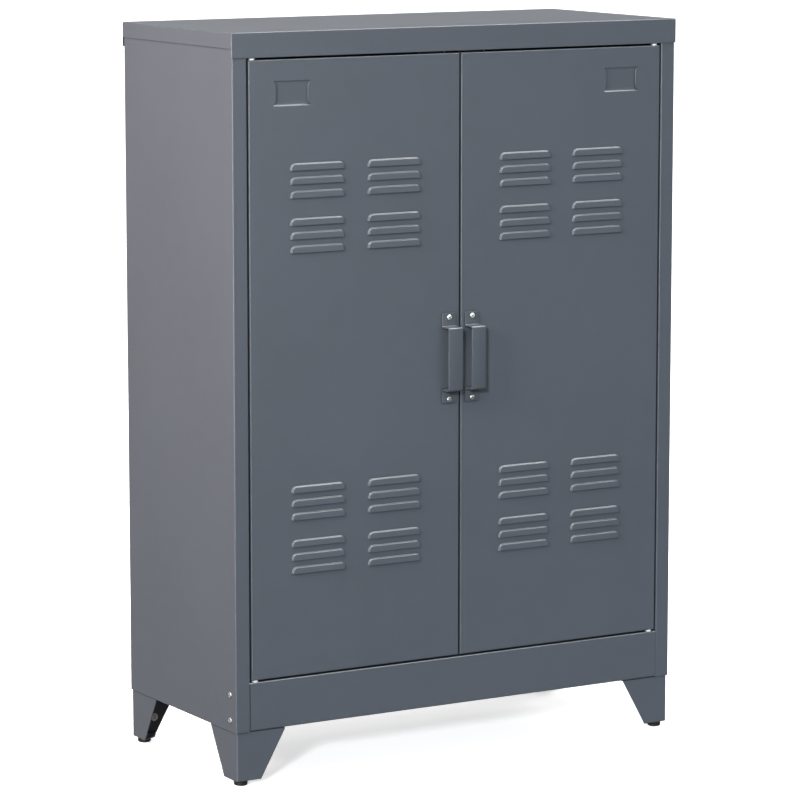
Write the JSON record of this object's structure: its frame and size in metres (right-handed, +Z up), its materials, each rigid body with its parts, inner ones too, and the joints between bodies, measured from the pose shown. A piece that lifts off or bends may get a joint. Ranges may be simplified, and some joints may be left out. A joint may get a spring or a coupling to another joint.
{
  "type": "two-door tool cabinet",
  "caption": "Upright sheet-metal cabinet with hinged louvred doors, bent-strip pull handles, inner shelves, a flat lid and tapered legs on levelling glides.",
  "frame": {"origin": "on the floor, under the middle of the bounding box", "axes": "+Z up, +X to the right across the width as seen from the front, +Y from the front (doors) to the back"},
  "size_m": [0.8, 0.3824, 1.15],
  "materials": {
    "painted_steel": "semi-matt powder coat with a fine texture",
    "painted_handle": "semi-matt powder coat",
    "zinc_plated_steel": "bright zinc plating",
    "white_nylon": "natural white nylon",
    "dark_plastic": "moulded dark grey plastic",
    "magnet": "dark ferrite",
    "rubber_buffer": "matt black rubber",
    "black_glide": "matt black hard plastic"
  },
  "bodies": {
    "carcass": {"side_panel_left": "painted_steel", "side_panel_right": "painted_steel", "back_panel": "painted_steel", "lid": "painted_steel", "front_head_rail": "painted_steel", "rear_head_rail": "painted_steel", "front_plinth_rail": "painted_steel", "rear_plinth_rail": "painted_steel", "floor_panel": "painted_steel", "door_stop": "painted_steel", "lower_shelf": "painted_steel", "upper_shelf": "painted_steel", "front_left_leg": "painted_steel", "front_right_leg": "painted_steel", "rear_left_leg": "painted_steel", "rear_right_leg": "painted_steel", "left_catch_housing": "dark_plastic", "left_catch_magnet": "magnet", "left_lower_bush": "white_nylon", "left_upper_bush": "white_nylon", "right_catch_housing": "dark_plastic", "right_catch_magnet": "magnet", "right_lower_bush": "white_nylon", "right_upper_bush": "white_nylon", "shelf_clips": "zinc_plated_steel", "leg_bolts": "zinc_plated_steel", "leg_nuts": "zinc_plated_steel", "foot_nuts": "zinc_plated_steel", "rear_leg_screws": "zinc_plated_steel", "side_screws": "zinc_plated_steel", "side_screw_nuts": "zinc_plated_steel", "back_panel_screws": "zinc_plated_steel", "lid_screws": "zinc_plated_steel", "catch_screws": "zinc_plated_steel"},
    "left_door_body": {"left_door": "painted_steel", "left_door_stiffener": "painted_steel", "left_handle": "painted_handle", "left_handle_screws": "zinc_plated_steel", "left_handle_nuts": "zinc_plated_steel", "left_lower_pin": "zinc_plated_steel", "left_upper_pin": "zinc_plated_steel", "left_strike_plate": "zinc_plated_steel", "left_door_buffer": "rubber_buffer"},
    "right_door_body": {"right_door": "painted_steel", "right_door_stiffener": "painted_steel", "right_handle": "painted_handle", "right_handle_screws": "zinc_plated_steel", "right_handle_nuts": "zinc_plated_steel", "right_lower_pin": "zinc_plated_steel", "right_upper_pin": "zinc_plated_steel", "right_strike_plate": "zinc_plated_steel", "right_door_buffer": "rubber_buffer"},
    "front_left_foot": {"front_left_glide": "black_glide", "front_left_stud": "zinc_plated_steel"},
    "front_right_foot": {"front_right_glide": "black_glide", "front_right_stud": "zinc_plated_steel"},
    "rear_left_foot": {"rear_left_glide": "black_glide", "rear_left_stud": "zinc_plated_steel"},
    "rear_right_foot": {"rear_right_glide": "black_glide", "rear_right_stud": "zinc_plated_steel"}
  },
  "joints": [
    {"name": "left_door_hinge", "type": "hinge", "parent": "carcass", "child": "left_door_body", "pos_m": [-0.3625, -0.16275, 0.6361], "axis": [0, 0, -1], "range_deg": [0, 110]},
    {"name": "right_door_hinge", "type": "hinge", "parent": "carcass", "child": "right_door_body", "pos_m": [0.3625, -0.16275, 0.6361], "axis": [0, 0, 1], "range_deg": [0, 110]},
    {"name": "front_left_foot_levelling", "type": "slide", "parent": "carcass", "child": "front_left_foot", "axis": [0, 0, -1], "range_m": [0, 0.01]},
    {"name": "front_right_foot_levelling", "type": "slide", "parent": "carcass", "child": "front_right_foot", "axis": [0, 0, -1], "range_m": [0, 0.01]},
    {"name": "rear_left_foot_levelling", "type": "slide", "parent": "carcass", "child": "rear_left_foot", "axis": [0, 0, -1], "range_m": [0, 0.01]},
    {"name": "rear_right_foot_levelling", "type": "slide", "parent": "carcass", "child": "rear_right_foot", "axis": [0, 0, -1], "range_m": [0, 0.01]}
  ]
}
